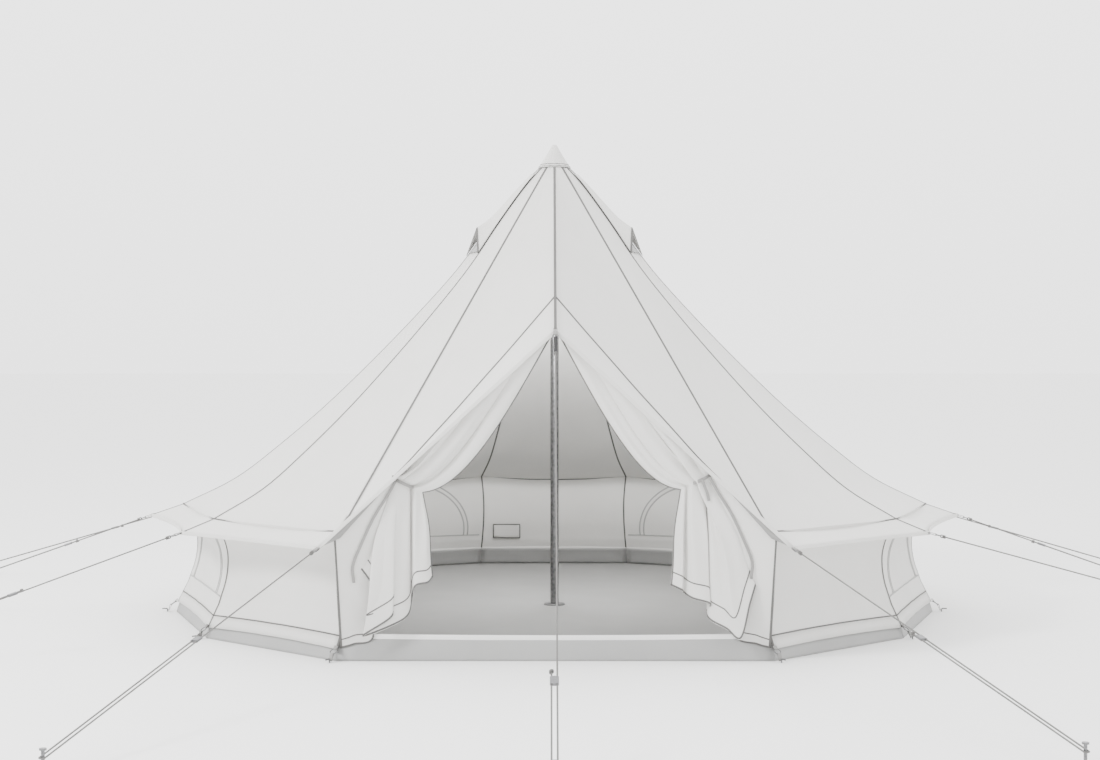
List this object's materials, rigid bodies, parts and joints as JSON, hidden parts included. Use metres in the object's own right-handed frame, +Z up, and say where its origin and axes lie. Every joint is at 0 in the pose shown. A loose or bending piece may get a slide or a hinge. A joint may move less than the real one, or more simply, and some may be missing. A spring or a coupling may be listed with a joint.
{
  "type": "bell tent",
  "caption": "Round canvas bell tent on a centre pole, with an open tied-back door, sewn-in groundsheet, vents, guy ropes with sliding runners, and pegs.",
  "frame": {"origin": "on the centre pole axis, at the underside of the groundsheet", "axes": "+Z up along the pole, door facing -Y, +X to the right for someone looking at the door"},
  "size_m": [8.7251, 9.56, 3.095],
  "materials": {
    "canvas": "woven off-white cotton canvas",
    "rope": "braided off-white guy rope",
    "runner_metal": "satin",
    "groundsheet_pvc": "grey coated sheet",
    "webbing": "narrow woven band",
    "mesh": "fine insect mesh",
    "zip_tape": "woven zip tape",
    "pole_steel": "galvanised tube",
    "foot_plastic": "moulded",
    "galvanised": "galvanised",
    "rubber": "black"
  },
  "bodies": {
    "root": {"corner_pegs": "galvanised", "corner_rings": "galvanised", "corner_straps": "webbing", "curtain_ties": "webbing", "door_curtain_left": "canvas", "door_curtain_right": "canvas", "door_guy_tensioner": "rubber", "door_hood_left": "canvas", "door_hood_right": "canvas", "eave_rings": "galvanised", "eave_tabs": "webbing", "groundsheet": "groundsheet_pvc", "groundsheet_upstand": "groundsheet_pvc", "guy_pegs": "galvanised", "guy_rope_door": "rope", "guy_rope_left_1": "rope", "guy_rope_left_2": "rope", "guy_rope_left_3": "rope", "guy_rope_left_4": "rope", "guy_rope_left_5": "rope", "guy_rope_left_6": "rope", "guy_rope_right_1": "rope", "guy_rope_right_2": "rope", "guy_rope_right_3": "rope", "guy_rope_right_4": "rope", "guy_rope_right_5": "rope", "guy_rope_right_6": "rope", "peak_cap": "canvas", "pole_ferrule": "pole_steel", "pole_foot": "foot_plastic", "pole_lower": "pole_steel", "pole_spigot": "foot_plastic", "pole_upper": "pole_steel", "roof_panel_back": "canvas", "roof_panels_left": "canvas", "roof_panels_right": "canvas", "sill_binding": "webbing", "vent_hood_left": "canvas", "vent_hood_right": "canvas", "vent_meshes": "mesh", "wall_panel_back": "canvas", "wall_panels_left": "canvas", "wall_panels_right": "canvas", "wall_patch": "canvas", "window_zip_tapes": "zip_tape"},
    "guy_runner_door": {"guy_runner_door": "runner_metal"},
    "guy_runner_left_1": {"guy_runner_left_1": "runner_metal"},
    "guy_runner_left_2": {"guy_runner_left_2": "runner_metal"},
    "guy_runner_left_3": {"guy_runner_left_3": "runner_metal"},
    "guy_runner_left_4": {"guy_runner_left_4": "runner_metal"},
    "guy_runner_left_5": {"guy_runner_left_5": "runner_metal"},
    "guy_runner_left_6": {"guy_runner_left_6": "runner_metal"},
    "guy_runner_right_1": {"guy_runner_right_1": "runner_metal"},
    "guy_runner_right_2": {"guy_runner_right_2": "runner_metal"},
    "guy_runner_right_3": {"guy_runner_right_3": "runner_metal"},
    "guy_runner_right_4": {"guy_runner_right_4": "runner_metal"},
    "guy_runner_right_5": {"guy_runner_right_5": "runner_metal"},
    "guy_runner_right_6": {"guy_runner_right_6": "runner_metal"}
  },
  "joints": [
    {"name": "door_runner_slide", "type": "slide", "parent": "root", "child": "guy_runner_door", "axis": [0, -0.8708, -0.4917], "range_m": [-0.02, 0.3]},
    {"name": "left_1_runner_slide", "type": "slide", "parent": "root", "child": "guy_runner_left_1", "axis": [-0.2751, -0.9391, -0.2059], "range_m": [-0.02, 0.3]},
    {"name": "left_2_runner_slide", "type": "slide", "parent": "root", "child": "guy_runner_left_2", "axis": [-0.7929, -0.5409, -0.2808], "range_m": [-0.02, 0.3]},
    {"name": "left_3_runner_slide", "type": "slide", "parent": "root", "child": "guy_runner_left_3", "axis": [-0.9377, -0.1135, -0.3285], "range_m": [-0.02, 0.3]},
    {"name": "left_4_runner_slide", "type": "slide", "parent": "root", "child": "guy_runner_left_4", "axis": [-0.9007, 0.3421, -0.2677], "range_m": [-0.02, 0.3]},
    {"name": "left_5_runner_slide", "type": "slide", "parent": "root", "child": "guy_runner_left_5", "axis": [-0.6372, 0.7203, -0.2741], "range_m": [-0.02, 0.3]},
    {"name": "left_6_runner_slide", "type": "slide", "parent": "root", "child": "guy_runner_left_6", "axis": [-0.2294, 0.9339, -0.2741], "range_m": [-0.02, 0.3]},
    {"name": "right_1_runner_slide", "type": "slide", "parent": "root", "child": "guy_runner_right_1", "axis": [0.3247, -0.9218, -0.2119], "range_m": [-0.02, 0.3]},
    {"name": "right_2_runner_slide", "type": "slide", "parent": "root", "child": "guy_runner_right_2", "axis": [0.9499, -0.187, -0.2506], "range_m": [-0.02, 0.3]},
    {"name": "right_3_runner_slide", "type": "slide", "parent": "root", "child": "guy_runner_right_3", "axis": [0.9377, -0.1135, -0.3285], "range_m": [-0.02, 0.3]},
    {"name": "right_4_runner_slide", "type": "slide", "parent": "root", "child": "guy_runner_right_4", "axis": [0.9007, 0.3421, -0.2677], "range_m": [-0.02, 0.3]},
    {"name": "right_5_runner_slide", "type": "slide", "parent": "root", "child": "guy_runner_right_5", "axis": [0.6372, 0.7203, -0.2741], "range_m": [-0.02, 0.3]},
    {"name": "right_6_runner_slide", "type": "slide", "parent": "root", "child": "guy_runner_right_6", "axis": [0.2294, 0.9339, -0.2741], "range_m": [-0.02, 0.3]}
  ]
}
